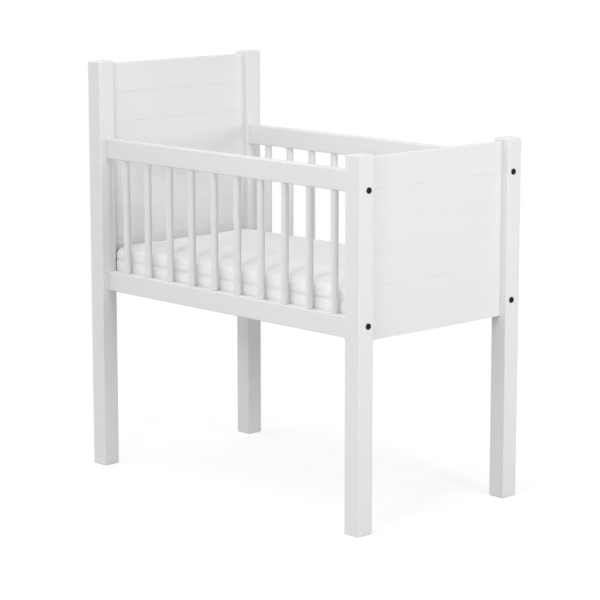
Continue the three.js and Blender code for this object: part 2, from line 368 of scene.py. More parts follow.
class Effects:
    """Shader groups that more than one finish uses, each built once."""

    @staticmethod
    @cache
    def grain() -> bpy.types.NodeTree:
        """Builds wood grain: long streaks that wander a little along the length.

        Returns:
            A group whose Height and Tone run from 0 to 1.
        """
        group = new_group(
            "grain",
            "ShaderNodeTree",
            {
                "Vector": ("NodeSocketVector",),
                "Stretch": ("NodeSocketVector", (90.0, 90.0, 4.0)),
                "Wander": ("NodeSocketFloat", 0.006),
            },
            {"Height": "NodeSocketFloat", "Tone": "NodeSocketFloat"},
        )
        make = NodeMaker(group)
        given = make.add("NodeGroupInput").outputs
        drift = make.noise(given["Vector"], scale=7.0, detail=1.0)["Color"]
        centred = make.vector("SUBTRACT", drift, (0.5, 0.5, 0.5))
        wander = make.scaled(centred, given["Wander"])
        place = make.vector("ADD", given["Vector"], wander)
        drawn_out = make.vector("MULTIPLY", place, given["Stretch"])
        streaks = make.noise(drawn_out, scale=1.0, detail=5.0, roughness=0.62)
        bands = make.noise(drawn_out, scale=0.22, detail=1.0, roughness=0.4)
        make.add("NodeGroupOutput", {"Height": streaks["Fac"], "Tone": bands["Fac"]})
        return group

    @staticmethod
    @cache
    def roller() -> bpy.types.NodeTree:
        """Builds the skin of rolled paint: a fine stipple over broad, soft patches.

        Returns:
            A group whose Height and Patch run from 0 to 1.
        """
        group = new_group(
            "roller",
            "ShaderNodeTree",
            {
                "Vector": ("NodeSocketVector",),
                "Stipple": ("NodeSocketFloat", 650.0),
                "Patch Scale": ("NodeSocketFloat", 6.0),
            },
            {"Height": "NodeSocketFloat", "Patch": "NodeSocketFloat"},
        )
        make = NodeMaker(group)
        given = make.add("NodeGroupInput").outputs
        stipple = make.noise(given["Vector"], given["Stipple"], detail=2.0)
        patch = make.noise(given["Vector"], given["Patch Scale"], detail=2.0)
        make.add("NodeGroupOutput", {"Height": stipple["Fac"], "Patch": patch["Fac"]})
        return group

    @staticmethod
    @cache
    def weave() -> bpy.types.NodeTree:
        """Builds plain woven cloth, from threads along all three axes.

        Returns:
            A group whose Height is the threads' and whose Slub marks thicker yarns.
        """
        group = new_group(
            "weave",
            "ShaderNodeTree",
            {
                "Vector": ("NodeSocketVector",),
                "Thread": ("NodeSocketFloat", 0.0009),
                "Slub Scale": ("NodeSocketFloat", 60.0),
            },
            {"Height": "NodeSocketFloat", "Slub": "NodeSocketFloat"},
        )
        make = NodeMaker(group)
        given = make.add("NodeGroupInput").outputs
        per_metre = make.number("DIVIDE", math.pi, given["Thread"])
        waves = make.vector("SINE", make.scaled(given["Vector"], per_metre))
        tall = make.vector("ABSOLUTE", waves)
        parts = make.add("ShaderNodeSeparateXYZ", {0: tall}).outputs
        total = make.number("ADD", make.number("ADD", parts[0], parts[1]), parts[2])
        height = make.number("MULTIPLY", total, 1 / 3)
        slub = make.noise(given["Vector"], given["Slub Scale"], detail=4.0)
        make.add("NodeGroupOutput", {"Height": height, "Slub": slub["Fac"]})
        return group


def placed_group(
    make: NodeMaker, effect: GroupBuilder, inputs: dict[str, object] | None = None
) -> bpy.types.NodeOutputs:
    """Places one of the shared shader groups in a material, on object coordinates.

    Args:
        make: The material's node maker.
        effect: Builds the group, or gives it again.
        inputs: Values for the group's other inputs.

    Returns:
        The group's outputs.
    """
    place = make.add("ShaderNodeTexCoord").outputs["Object"]
    inputs = {"Vector": place, **(inputs or {})}
    return make.add("ShaderNodeGroup", inputs, node_tree=effect()).outputs


class Finish:
    """A surface finish. Each kind of finish says how its shader is made."""

    name: str

    def material(self) -> bpy.types.Material:
        """Makes this finish's material the first time that it is asked for.

        Returns:
            The material.
        """
        found = bpy.data.materials.get(self.name)
        if found:
            return found
        material = bpy.data.materials.new(self.name)
        material.use_nodes = True
        make = NodeMaker(material.node_tree)
        shader = make.add("ShaderNodeBsdfPrincipled")
        make.add("ShaderNodeOutputMaterial", {"Surface": shader.outputs["BSDF"]})
        for label, value in self.dress(make).items():
            make.feed(shader.inputs[label], value)
        return material

    def dress(self, make: NodeMaker) -> dict[str, object]:
        """Adds this finish's nodes.

        Args:
            make: The material's node maker.

        Returns:
            What goes into the Principled shader's sockets, by their names.
        """
        raise NotImplementedError


@dataclass(frozen=True)
class Relief:
    """How deep a surface's relief is, in metres, and how strongly it shows."""

    depth: float
    strength: float


def grey(level: float) -> Color:
    """Returns a grey, from 0 for black to 1 for white."""
    return (level, level, level, 1)


@dataclass(frozen=True)
class Grain:
    """Wood grain: its repeats in a metre across and along, and its wander in metres."""

    across: float
    along: float
    wander: float = 0.006

    def placed(self, make: NodeMaker, axis: Axis) -> bpy.types.NodeOutputs:
        """Places this grain in a material.

        Args:
            make: The material's node maker.
            axis: The way that the wood runs.

        Returns:
            The grain's outputs, Height and Tone.
        """
        stretch = Vector((self.across, self.across, self.across))
        stretch[axis.value] = self.along
        inputs = {"Stretch": stretch, "Wander": self.wander}
        return placed_group(make, Effects.grain, inputs)


@dataclass(frozen=True)
class PaintedWood(Finish):
    """White satin paint, rolled over planed wood whose grain just shows through."""

    name: str
    axis: Axis
    grain_relief: Relief = Relief(0.00016, 0.6)
    stipple: Relief = Relief(0.00003, 0.5)
    grain: Grain = Grain(150.0, 5.0)
    color: Color = grey(0.8)
    shade: Color = grey(0.78)
    tone_span: Span = (0.35, 0.65)
    gloss: Span = (0.36, 0.5)

    def dress(self, make: NodeMaker) -> dict[str, object]:
        """Gives colour, gloss and surface from grain and roller marks.

        Args:
            make: The material's node maker.

        Returns:
            What goes into the shader's sockets.
        """
        grain = self.grain.placed(make, self.axis)
        roller = placed_group(make, Effects.roller)
        tone = make.blend(0.5, grain["Tone"], roller["Patch"], data_type="FLOAT")
        share = make.ranged(tone, self.tone_span)
        below = make.bump(grain["Height"], self.grain_relief)
        return {
            "Base Color": make.blend(share, self.shade, self.color),
            "Roughness": make.ranged(roller["Patch"], NOISE_SPAN, self.gloss),
            "Normal": make.bump(roller["Height"], self.stipple, below),
        }


@dataclass(frozen=True)
class BareWood(Finish):
    """Planed softwood with pale and dark growth lines, left without a finish."""

    name: str
    axis: Axis
    pale: Color = (0.73, 0.61, 0.45, 1)
    dark: Color = (0.56, 0.43, 0.28, 1)
    lines: Grain = Grain(260.0, 6.0, 0.02)
    line_span: Span = (0.38, 0.66)
    fibres: Grain = Grain(1400.0, 40.0, 0.002)
    fibre_share: float = 0.25
    gloss: Span = (0.62, 0.8)
    surface: Relief = Relief(0.0004, 0.5)

    def dress(self, make: NodeMaker) -> dict[str, object]:
        """Gives colour, gloss and surface from growth lines and fibres.

        Args:
            make: The material's node maker.

        Returns:
            What goes into the shader's sockets.
        """
        line = self.lines.placed(make, self.axis)["Height"]
        line = make.ranged(line, self.line_span)
        fibre = self.fibres.placed(make, self.axis)["Height"]
        mixed = make.blend(self.fibre_share, line, fibre, data_type="FLOAT")
        return {
            "Base Color": make.blend(mixed, self.pale, self.dark),
            "Roughness": make.ranged(mixed, wanted=self.gloss),
            "Normal": make.bump(mixed, self.surface),
        }


@dataclass(frozen=True)
class Metal(Finish):
    """Steel under a thin coating, blackened or plated, with fine tool marks."""

    name: str
    color: Color
    metallic: float
    gloss: Span
    marks: Relief = Relief(0.00002, 0.5)
    mark_scale: float = 2600.0
    patch_scale: float = 220.0
    worn_brightness: float = 1.25

    def dress(self, make: NodeMaker) -> dict[str, object]:
        """Gives gloss and surface from fine marks, and colour from patches.

        Args:
            make: The material's node maker.

        Returns:
            What goes into the shader's sockets.
        """
        scales = {"Stipple": self.mark_scale, "Patch Scale": self.patch_scale}
        skin = placed_group(make, Effects.roller, scales)
        worn = make.add(
            "ShaderNodeHueSaturation",
            {"Value": self.worn_brightness, "Color": self.color},
        ).outputs[0]
        return {
            "Metallic": self.metallic,
            "Base Color": make.blend(skin["Patch"], self.color, worn),
            "Roughness": make.ranged(skin["Patch"], NOISE_SPAN, self.gloss),
            "Normal": make.bump(skin["Height"], self.marks),
        }


@dataclass(frozen=True)
class Cotton(Finish):
    """White woven cotton, matt, with slightly uneven yarns."""

    name: str
    thread: float
    threads: Relief = Relief(0.00012, 0.6)
    slubs: Relief = Relief(0.00024, 0.4)
    color: Color = grey(0.9)
    shade: Color = grey(0.87)
    gloss: Span = (0.82, 0.96)
    sheen: float = 0.7
    sheen_gloss: float = 0.6
    specular: float = 0.3

    def dress(self, make: NodeMaker) -> dict[str, object]:
        """Gives colour, gloss and surface from the weave.

        Args:
            make: The material's node maker.

        Returns:
            What goes into the shader's sockets.
        """
        weave = placed_group(make, Effects.weave, {"Thread": self.thread})
        tone = make.blend(0.5, weave["Slub"], weave["Height"], data_type="FLOAT")
        share = make.ranged(tone, NOISE_SPAN)
        below = make.bump(weave["Height"], self.threads)
        return {
            "Sheen Weight": self.sheen,
            "Sheen Roughness": self.sheen_gloss,
            "Specular IOR Level": self.specular,
            "Base Color": make.blend(share, self.shade, self.color),
            "Roughness": make.ranged(weave["Slub"], wanted=self.gloss),
            "Normal": make.bump(weave["Slub"], self.slubs, below),
        }


UPRIGHT_PAINT = PaintedWood("white_paint_upright", Axis.Z)
RAIL_PAINT = PaintedWood("white_paint_rail", Axis.X)
BOARD_PAINT = PaintedWood("white_paint_board", Axis.Y, Relief(0.0001, 0.6))
CLEAT_WOOD = BareWood("bare_wood_cleat", Axis.X)
SLAT_WOOD = BareWood("bare_wood_slat", Axis.Y)
BLACK_STEEL = Metal("blackened_steel", grey(0.012), 0.9, (0.42, 0.56))
PLATED_STEEL = Metal("zinc_plate", (0.6, 0.59, 0.55, 1), 0.95, (0.24, 0.4))
COVER = Cotton("cotton_cover", 0.0011)
PIPING = Cotton("cotton_piping", 0.0007)
THREAD = Cotton("sewing_thread", 0.0003, Relief(0.00005, 0.6), Relief(0.0001, 0.4))


def new_object(name: str, data: bpy.types.ID) -> bpy.types.Object:
    """Adds an object to the scene, at the origin.

    Args:
        name: The object's name.
        data: Its mesh, curve, lamp or camera.

    Returns:
        The object.
    """
    made = bpy.data.objects.new(name, data)
    bpy.context.scene.collection.objects.link(made)
    return made


def evaluated_mesh(source: bpy.types.Object) -> bpy.types.Mesh:
    """Works out an object's modifiers.

    Args:
        source: The object.

    Returns:
        A plain mesh of what they make of it.
    """
    depsgraph = bpy.context.evaluated_depsgraph_get()
    worked_out = source.evaluated_get(depsgraph)
    return bpy.data.meshes.new_from_object(worked_out, depsgraph=depsgraph)


def discard(*objects: bpy.types.Object) -> None:
    """Takes helper objects out of the file."""
    for helper in objects:
        bpy.data.objects.remove(helper)


def mesh_from(name: str, fill: Callable[[bmesh.types.BMesh], None]) -> bpy.types.Mesh:
    """Builds a mesh with bmesh and turns its faces outwards.

    Args:
        name: The mesh's name.
        fill: Fills the empty bmesh.

    Returns:
        The mesh.
    """
    work = bmesh.new()
    fill(work)
    bmesh.ops.recalc_face_normals(work, faces=work.faces)
    mesh = bpy.data.meshes.new(name)
    work.to_mesh(mesh)
    work.free()
    return mesh


def add_block(work: bmesh.types.BMesh, block: Block) -> list[bmesh.types.BMVert]:
    """Adds a plain box to a bmesh and returns its corners."""
    place = Matrix.Translation(block.centre) @ Matrix.Diagonal(block.size).to_4x4()
    return bmesh.ops.create_cube(work, size=1.0, matrix=place)["verts"]


def add_rod(
    work: bmesh.types.BMesh,
    centre: Vector,
    axis: Axis,
    diameter: float,
    length: float,
    facets: int = 32,
) -> None:
    """Adds a closed rod to a bmesh.

    Args:
        work: The bmesh.
        centre: The rod's middle.
        axis: The way that it runs.
        diameter: Its diameter.
        length: Its length.
        facets: The number of its sides.
    """
    towards = Vector((0, 0, 0))
    towards[axis.value] = 1
    turn = Vector((0, 0, 1)).rotation_difference(towards).to_matrix().to_4x4()
    bmesh.ops.create_cone(
        work,
        cap_ends=True,
        segments=facets,
        radius1=diameter / 2,
        radius2=diameter / 2,
        depth=length,
        matrix=Matrix.Translation(centre) @ turn,
    )


def runs_along(edge: bmesh.types.BMEdge, axis: Axis) -> bool:
    """Says whether an edge of a block lies along an axis."""
    run = edge.verts[1].co - edge.verts[0].co
    return abs(run[axis.value]) > run.length / 2


def eased_block(
    name: str, block: Block, radius: float, steps: int, along: Axis | None = None
) -> bpy.types.Mesh:
    """Makes a block with round edges.

    Args:
        name: The mesh's name.
        block: Its place.
        radius: The radius of its edges.
        steps: Faces across each round edge.
        along: The axis whose edges alone are rounded, or None for all of them.

    Returns:
        The mesh.
    """

    def fill(work: bmesh.types.BMesh) -> None:
        """Adds the block and rounds its edges.

        Args:
            work: The bmesh.
        """
        add_block(work, block)
        edges = [
            edge for edge in work.edges if along is None or runs_along(edge, along)
        ]
        bmesh.ops.bevel(
            work,
            geom=edges,
            offset=radius,
            segments=steps,
            profile=0.5,
            affect="EDGES",
        )

    return mesh_from(name, fill)


def carved(
    name: str, blank: bpy.types.Mesh, fill: Callable[[bmesh.types.BMesh], None]
) -> bpy.types.Mesh:
    """Cuts a set of closed tools out of a blank.

    Args:
        name: The new mesh's name.
        blank: The mesh to cut.
        fill: Fills a bmesh with the tools.

    Returns:
        The cut mesh.
    """
    body = new_object(name + "_blank", blank)
    tools = new_object(name + "_tools", mesh_from(name + "_tools", fill))
    cut = body.modifiers.new("cut", "BOOLEAN")
    cut.operation = "DIFFERENCE"
    cut.solver = "EXACT"
    cut.object = tools
    mesh = evaluated_mesh(body)
    mesh.name = name
    discard(body, tools)
    return mesh


def lofted(
    name: str, rings: list[Ring], closed_ends: bool = True, loop: bool = False
) -> bpy.types.Mesh:
    """Makes a skin over rings that have equal numbers of points.

    Args:
        name: The mesh's name.
        rings: The rings in order.
        closed_ends: Whether the first and last ring are filled.
        loop: Whether the last ring is joined to the first one.

    Returns:
        The mesh.
    """

    def fill(work: bmesh.types.BMesh) -> None:
        """Adds the rings, the faces between them and the ends.

        Args:
            work: The bmesh.
        """
        loops = [[work.verts.new(point) for point in ring] for ring in rings]
        pairs = list(zip(loops, loops[1:], strict=False))
        if loop:
            pairs.append((loops[-1], loops[0]))
        for first, second in pairs:
            for index in range(len(first)):
                after = (index + 1) % len(first)
                work.faces.new(
                    (first[index], first[after], second[after], second[index])
                )
        if closed_ends and not loop:
            work.faces.new(loops[0])
            work.faces.new(reversed(loops[-1]))

    return mesh_from(name, fill)


def smooth_faces(mesh: bpy.types.Mesh) -> bpy.types.Mesh:
    """Shades round edges smoothly while flat faces stay flat.

    Args:
        mesh: A mesh whose faces point outwards.

    Returns:
        A copy whose normals are weighted by the size of the faces.
    """
    mesh.shade_smooth()
    mesh.set_sharp_from_angle(angle=SMOOTH_ANGLE)
    helper = new_object(mesh.name + "_shading", mesh)
    weigh = helper.modifiers.new("weigh", "WEIGHTED_NORMAL")
    weigh.keep_sharp = True
    made = evaluated_mesh(helper)
    discard(helper)
    return made


def finished_piece(
    name: str, mesh: bpy.types.Mesh, finish: Finish, nodes: Iterable[str]
) -> bpy.types.Object:
    """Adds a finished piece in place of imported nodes.

    Args:
        name: The piece's name.
        mesh: Its mesh, in the row frame.
        finish: Its finish.
        nodes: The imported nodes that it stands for.

    Returns:
        The piece.
    """
    made = new_object(name, mesh)
    mesh.name = name
    mesh.materials.clear()
    mesh.materials.append(finish.material())
    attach(made, "root")
    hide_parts(*nodes)
    log.info("%s: %d faces, %s", name, len(mesh.polygons), finish.name)
    return made


class Patterns:
    """Geometry Nodes trees for what repeats, each built once."""

    @staticmethod
    def run(
        pattern: GroupBuilder,
        inputs: dict[str, object],
        start: bpy.types.Object | None = None,
    ) -> bpy.types.Mesh:
        """Runs a tree once and returns the plain mesh that it makes.

        Args:
            pattern: Builds the tree, or gives it again.
            inputs: Values for its named inputs.
            start: The object that it works on, or None for an empty one.

        Returns:
            The mesh, with nothing left of the tree on it.
        """
        tree = pattern()
        host = start or new_object(tree.name, bpy.data.meshes.new(tree.name))
        modifier = host.modifiers.new(tree.name, "NODES")
        modifier.node_group = tree
        for socket in tree.interface.items_tree:
            if socket.in_out == "INPUT" and socket.name in inputs:
                modifier[socket.identifier] = inputs[socket.name]
        mesh = evaluated_mesh(host)
        discard(host)
        return mesh

    @staticmethod
    @cache
    def turned_bars() -> bpy.types.NodeTree:
        """Builds a row of turned bars, each with a tenon on both ends.

        Returns:
            A tree that needs no geometry to work on.
        """
        group = new_group(
            "turned_bars",
            "GeometryNodeTree",
            {
                "Count": ("NodeSocketInt", 10),
                "First": ("NodeSocketVector",),
                "Pitch": ("NodeSocketFloat", 0.074),
                "Diameter": ("NodeSocketFloat", 0.016),
                "Length": ("NodeSocketFloat", 0.25),
                "Easing": ("NodeSocketFloat", 0.0005),
                "Tenon Diameter": ("NodeSocketFloat", 0.01),
                "Tenon Length": ("NodeSocketFloat", 0.012),
                "Tip Share": ("NodeSocketFloat", 0.9),
                "Sides": ("NodeSocketInt", 32),
                "Finish": ("NodeSocketMaterial",),
            },
            {"Bars": "NodeSocketGeometry"},
        )
        make = NodeMaker(group)
        given = make.add("NodeGroupInput").outputs
        both_eases = make.number("MULTIPLY", given["Easing"], 2.0)
        body = make.add(
            "GeometryNodeMeshCylinder",
            {
                "Vertices": given["Sides"],
                "Radius": make.number("DIVIDE", given["Diameter"], 2.0),
                "Depth": make.number("SUBTRACT", given["Length"], both_eases),
            },
            fill_type="NGON",
        ).outputs
        caps = make.add(
            "FunctionNodeBooleanMath",
            {0: body["Top"], 1: body["Bottom"]},
            operation="OR",
        ).outputs[0]
        shoulder = make.number("SUBTRACT", given["Diameter"], both_eases)
        steps = (
            (given["Easing"], make.number("DIVIDE", shoulder, given["Diameter"])),
            (0.0, make.number("DIVIDE", given["Tenon Diameter"], shoulder)),
            (given["Tenon Length"], given["Tip Share"]),
        )
        mesh = body["Mesh"]
        for reach, share in steps:
            drawn = make.add(
                "GeometryNodeExtrudeMesh",
                {
                    "Mesh": mesh,
                    "Selection": caps,
                    "Offset Scale": reach,
                    "Individual": True,
                },
            ).outputs
            caps = drawn["Top"]
            mesh = make.add(
                "GeometryNodeScaleElements",
                {"Geometry": drawn["Mesh"], "Selection": caps, "Scale": share},
            ).outputs[0]
        step = make.add("ShaderNodeCombineXYZ", {"X": given["Pitch"]}).outputs[0]
        places = make.line(given["Count"], given["First"], step)
        bars = make.copies(places, mesh, given["Finish"])
        make.add("NodeGroupOutput", {"Bars": bars})
        return group

    @staticmethod
    @cache
    def rows_and_columns() -> bpy.types.NodeTree:
        """Builds copies of one piece, set out in rows and columns.

        Returns:
            A tree that needs no geometry to work on.
        """
        group = new_group(
            "rows_and_columns",
            "GeometryNodeTree",
            {
                "Piece": ("NodeSocketObject",),
                "First": ("NodeSocketVector",),
                "Columns": ("NodeSocketInt", 1),
                "Column Step": ("NodeSocketVector",),
                "Rows": ("NodeSocketInt", 1),
                "Row Step": ("NodeSocketVector",),
                "Turn": ("NodeSocketRotation",),
                "Finish": ("NodeSocketMaterial",),
            },
            {"Copies": "NodeSocketGeometry"},
        )
        make = NodeMaker(group)
        given = make.add("NodeGroupInput").outputs
        columns = make.line(given["Columns"], given["First"], given["Column Step"])
        rows = make.line(given["Rows"], (0, 0, 0), given["Row Step"])
        grid = make.add(
            "GeometryNodeInstanceOnPoints", {"Points": columns, "Instance": rows}
        ).outputs[0]
        places = make.add("GeometryNodeRealizeInstances", {0: grid}).outputs[0]
        piece = make.add("GeometryNodeObjectInfo", {"Object": given["Piece"]})
        copies = make.copies(
            places,
            piece.outputs["Geometry"],
            given["Finish"],
            {"Rotation": given["Turn"]},
        )
        make.add("NodeGroupOutput", {"Copies": copies})
        return group

    @staticmethod
    @cache
    def stitches() -> bpy.types.NodeTree:
        """Builds a row of stitches along the curve that the tree works on.

        Returns:
            A tree whose first input is that curve.
        """
        group = new_group(
            "stitches",
            "GeometryNodeTree",
            {
                "Seam": ("NodeSocketGeometry",),
                "Pitch": ("NodeSocketFloat", 0.004),
                "Length": ("NodeSocketFloat", 0.0026),
                "Thickness": ("NodeSocketFloat", 0.0006),
                "Finish": ("NodeSocketMaterial",),
            },
            {"Stitches": "NodeSocketGeometry"},
        )
        make = NodeMaker(group)
        given = make.add("NodeGroupInput").outputs
        places = make.add(
            "GeometryNodeCurveToPoints",
            {"Curve": given["Seam"], "Length": given["Pitch"]},
            mode="LENGTH",
        ).outputs
        # The bead is one unit across, so that its scale is its size.
        bead = make.add(
            "GeometryNodeMeshIcoSphere", {"Radius": 0.5, "Subdivisions": 1}
        )
        thickness = given["Thickness"]
        size = make.add(
            "ShaderNodeCombineXYZ",
            {"X": given["Length"], "Y": thickness, "Z": thickness},
        )
        along = make.add(
            "FunctionNodeAlignRotationToVector",
            {"Vector": places["Tangent"]},
            axis="X",
        )
        stitches = make.copies(
            places["Points"],
            bead.outputs["Mesh"],
            given["Finish"],
            {"Rotation": along.outputs[0], "Scale": size.outputs[0]},
        )
        make.add("NodeGroupOutput", {"Stitches": stitches})
        return group


@dataclass
class CornerPosts:
    """Four square posts, bored for bolts and dowels and grooved for the panels."""

    edge_radius: float = 0.003
    edge_steps: int = 5
    bolt_bore: float = 0.0066
    dowel_bore: float = 0.0086
    dowel_reach: float = 0.0153

    def build(self, rails: "SideRails") -> None:
        """Makes the four posts.

        Args:
            rails: The rails, which say where their dowels enter the posts.
        """
        for end in End:
            for side in Side:
                self._build_post(end, side, rails)

    def _build_post(self, end: End, side: Side, rails: "SideRails") -> None:
        """Makes one post with its groove and its bores.

        Args:
            end: The end of the cradle that it stands at.
            side: The side of the cradle that it stands on.
            rails: The rails, which say where their dowels enter it.
        """
        node = f"{end}_post_{side}"
        block = Block.of_node(node)
        name = f"corner_post_{end}_{side}"

        def tools(work: bmesh.types.BMesh) -> None:
            """Adds what is cut out for the panel, the bolts and the dowels.

            Args:
                work: The bmesh.
            """
            add_block(work, Block.of_node(f"{end}_panel").grown(FIT_GAP))
            for level in Level:
                bolt = Block.of_node(f"bolt_{end}_{side}_{level}").centre
                bolt.x = block.centre.x
                add_rod(work, bolt, Axis.X, self.bolt_bore, 2 * block.size.x)
                dowel = rails.dowel_place(end, side, level)
                add_rod(work, dowel, Axis.X, self.dowel_bore, 2 * self.dowel_reach)

        blank = eased_block(name, block, self.edge_radius, self.edge_steps)
        mesh = smooth_faces(carved(name, blank, tools))
        finished_piece(name, mesh, UPRIGHT_PAINT, [node])


@dataclass
class BoardedEnds:
    """Head and foot panels, marked out in boards by V grooves on both faces."""

    board_height: float = 0.067
    groove_width: float = 0.0017
    groove_depth: float = 0.0008
    groove_easing: float = 0.0003
    # How deep the easing reaches, as a share of the groove's depth.
    eased_share: float = 0.15
    top_radius: float = 0.003
    bottom_radius: float = 0.001
    round_steps: int = 6

    def build(self) -> None:
        """Makes both panels."""
        for end in End:
            node = f"{end}_panel"
            name = f"boarded_end_{end}"
            mesh = smooth_faces(self._panel(name, Block.of_node(node)))
            finished_piece(name, mesh, BOARD_PAINT, [node])

    def _panel(self, name: str, block: Block) -> bpy.types.Mesh:
        """Makes a panel from its outline as seen along Y.

        Args:
            name: The mesh's name.
            block: The panel's box.

        Returns:
            The mesh.
        """
        outline = [
            *self._face(block.high.x, 1, block),
            *reversed(self._face(block.low.x, -1, block)),
        ]
        rings = [
            [Vector((x, y, z)) for x, z in outline] for y in (block.low.y, block.high.y)
        ]
        return lofted(name, rings)

    def _face(self, face: float, outward: int, block: Block) -> Outline:
        """Draws one face of the outline from the bottom up.

        Args:
            face: The face's place along X.
            outward: 1 if the face looks along +X, otherwise -1.
            block: The panel's box.

        Returns:
            The points, as pairs of X and Z.
        """
        points = self._quarter(
            face, outward, block.low.z + self.bottom_radius, self.bottom_radius, -90, 0
        )
        boards = math.ceil(block.size.z / self.board_height) - 1
        half, ease = self.groove_width / 2, self.groove_easing
        shape = (
            (-half - ease, 0.0),
            (-half, self.eased_share),
            (0.0, 1.0),
            (half, self.eased_share),
            (half + ease, 0.0),
        )
        for board in range(boards, 0, -1):
            middle = block.high.z - board * self.board_height
            points += [
                (face - outward * share * self.groove_depth, middle + up)
                for up, share in shape
            ]
        points += self._quarter(
            face, outward, block.high.z - self.top_radius, self.top_radius, 0, 90
        )
        return points

    def _quarter(
        self,
        face: float,
        outward: int,
        level: float,
        radius: float,
        first: float,
        last: float,
    ) -> Outline:
        """Draws a round edge as a quarter of a circle.

        Args:
            face: The face that it meets.
            outward: 1 if that face looks along +X, otherwise -1.
            level: The height of the circle's centre.
            radius: Its radius.
            first: The angle that it starts at, in degrees above level.
            last: The angle that it ends at.

        Returns:
            The points, as pairs of X and Z.
        """
        points = []
        for step in range(self.round_steps + 1):
            angle = math.radians(first + (last - first) * step / self.round_steps)
            points.append(
                (
                    face - outward * radius * (1 - math.cos(angle)),
                    level + radius * math.sin(angle),
                )
            )
        return points


@dataclass
class SideRails:
    """Four rails with glued dowels, mortised for bars and bored for inserts."""

    edge_radius: float = 0.003
    edge_steps: int = 5
    dowel_diameter: float = 0.008
    dowel_reach: float = 0.015
    top_dowel_below_top: float = 0.015
    bottom_dowel_above_underside: float = 0.012
    mortise_diameter: float = 0.0106
    mortise_depth: float = 0.0123
    insert_bore: float = 0.0101
    insert_depth: float = 0.0213

    def timber(self, side: Side, level: Level) -> Block:
        """Takes the box of a rail without its dowels.

        Args:
            side: The rail's side of the cradle.
            level: Whether it is the top or the bottom rail.

        Returns:
            The box of its timber.
        """
        block = Block.of_node(f"{side}_{level}_rail")
        reach = Vector((self.dowel_reach, 0, 0))
        return Block(block.low + reach, block.high - reach)

    def dowel_place(self, end: End, side: Side, level: Level) -> Vector:
        """Finds where a dowel comes out of a rail's end.

        Args:
            end: The end of the cradle that the dowel is at.
            side: The rail's side of the cradle.
            level: Whether it is the top or the bottom rail.

        Returns:
            The middle of the dowel, on the face of the rail's end.
        """
        timber = self.timber(side, level)
        if level is Level.TOP:
            height = timber.high.z - self.top_dowel_below_top
        else:
            height = timber.low.z + self.bottom_dowel_above_underside
        edge = timber.face(Axis.X, end.sign)
        return Vector((edge, timber.centre.y, height))

    def build(self, bars: "Bars") -> None:
        """Makes the four rails.

        Args:
            bars: The bars, which say where they enter the rails.
        """
        for side in Side:
            for level in Level:
                self._build_rail(side, level, bars)

    def _build_rail(self, side: Side, level: Level, bars: "Bars") -> None:
        """Makes one rail, its mortises and bores, and its two dowels.

        Args:
            side: Its side of the cradle.
            level: Whether it is the top or the bottom rail.
            bars: The bars, which say where they enter it.
        """
        timber = self.timber(side, level)
        name = f"side_rail_{side}_{level}"
        mouth = timber.low.z if level is Level.TOP else timber.high.z

        def tools(work: bmesh.types.BMesh) -> None:
            """Adds what is cut out for the bars and the inserts.

            Args:
                work: The bmesh.
            """
            for place in bars.places(side):
                centre = Vector((place, timber.centre.y, mouth))
                add_rod(
                    work, centre, Axis.Z, self.mortise_diameter, 2 * self.mortise_depth
                )
            for end in End:
                centre = Block.of_node(f"insert_{end}_{side}_{level}").centre
                centre.x = timber.face(Axis.X, end.sign)
                add_rod(work, centre, Axis.X, self.insert_bore, 2 * self.insert_depth)

        blank = eased_block(name, timber, self.edge_radius, self.edge_steps, Axis.X)
        mesh = self._with_dowels(carved(name, blank, tools), side, level)
        node = f"{side}_{level}_rail"
        finished_piece(name, smooth_faces(mesh), RAIL_PAINT, [node])

    def _with_dowels(
        self, mesh: bpy.types.Mesh, side: Side, level: Level
    ) -> bpy.types.Mesh:
        """Adds the dowels that are glued into a rail's ends.

        Args:
            mesh: The rail.
            side: Its side of the cradle.
            level: Whether it is the top or the bottom rail.

        Returns:
            The same mesh with its dowels.
        """
        work = bmesh.new()
        work.from_mesh(mesh)
        for end in End:
            place = self.dowel_place(end, side, level)
            add_rod(work, place, Axis.X, self.dowel_diameter, 2 * self.dowel_reach)
        work.to_mesh(mesh)
        work.free()
        return mesh


@dataclass
class Bars:
    """Two rows of round bars between the rails."""

    count: int = 10
    easing: float = 0.0005
    tenon_diameter: float = 0.01
    tip_share: float = 0.94
    sides: int = 40

    def nodes(self, side: Side) -> list[str]:
        """Returns the names of a side's packed bars, from the head to the foot."""
        return [f"{side}_bar_{index}" for index in range(1, self.count + 1)]

    def places(self, side: Side) -> list[float]:
        """Returns how far along the cradle each bar of a side stands."""
        return [Block.of_node(node).centre.x for node in self.nodes(side)]

    def build(self, rails: SideRails) -> None:
        """Makes both rows.

        Args:
            rails: The rails that the bars stand between.
        """
        for side in Side:
            self._build_row(side, rails)

    def _build_row(self, side: Side, rails: SideRails) -> None:
        """Makes one row of bars.

        Args:
            side: The side of the cradle that it stands on.
            rails: The rails that the bars stand between.
        """
        nodes, places = self.nodes(side), self.places(side)
        first = Block.of_node(nodes[0])
        bottom = rails.timber(side, Level.BOTTOM).high.z + FIT_GAP
        top = rails.timber(side, Level.TOP).low.z - FIT_GAP
        mesh = Patterns.run(
            Patterns.turned_bars,
            {
                "Count": self.count,
                "First": Vector((places[0], first.centre.y, (bottom + top) / 2)),
                "Pitch": places[1] - places[0],
                "Diameter": first.size.x,
                "Length": top - bottom,
                "Easing": self.easing,
                "Tenon Diameter": self.tenon_diameter,
                "Tenon Length": first.high.z - top,
                "Tip Share": self.tip_share,
                "Sides": self.sides,
                "Finish": UPRIGHT_PAINT.material(),
            },
        )
        name = f"bars_{side}"
        finished_piece(name, smooth_faces(mesh), UPRIGHT_PAINT, nodes)


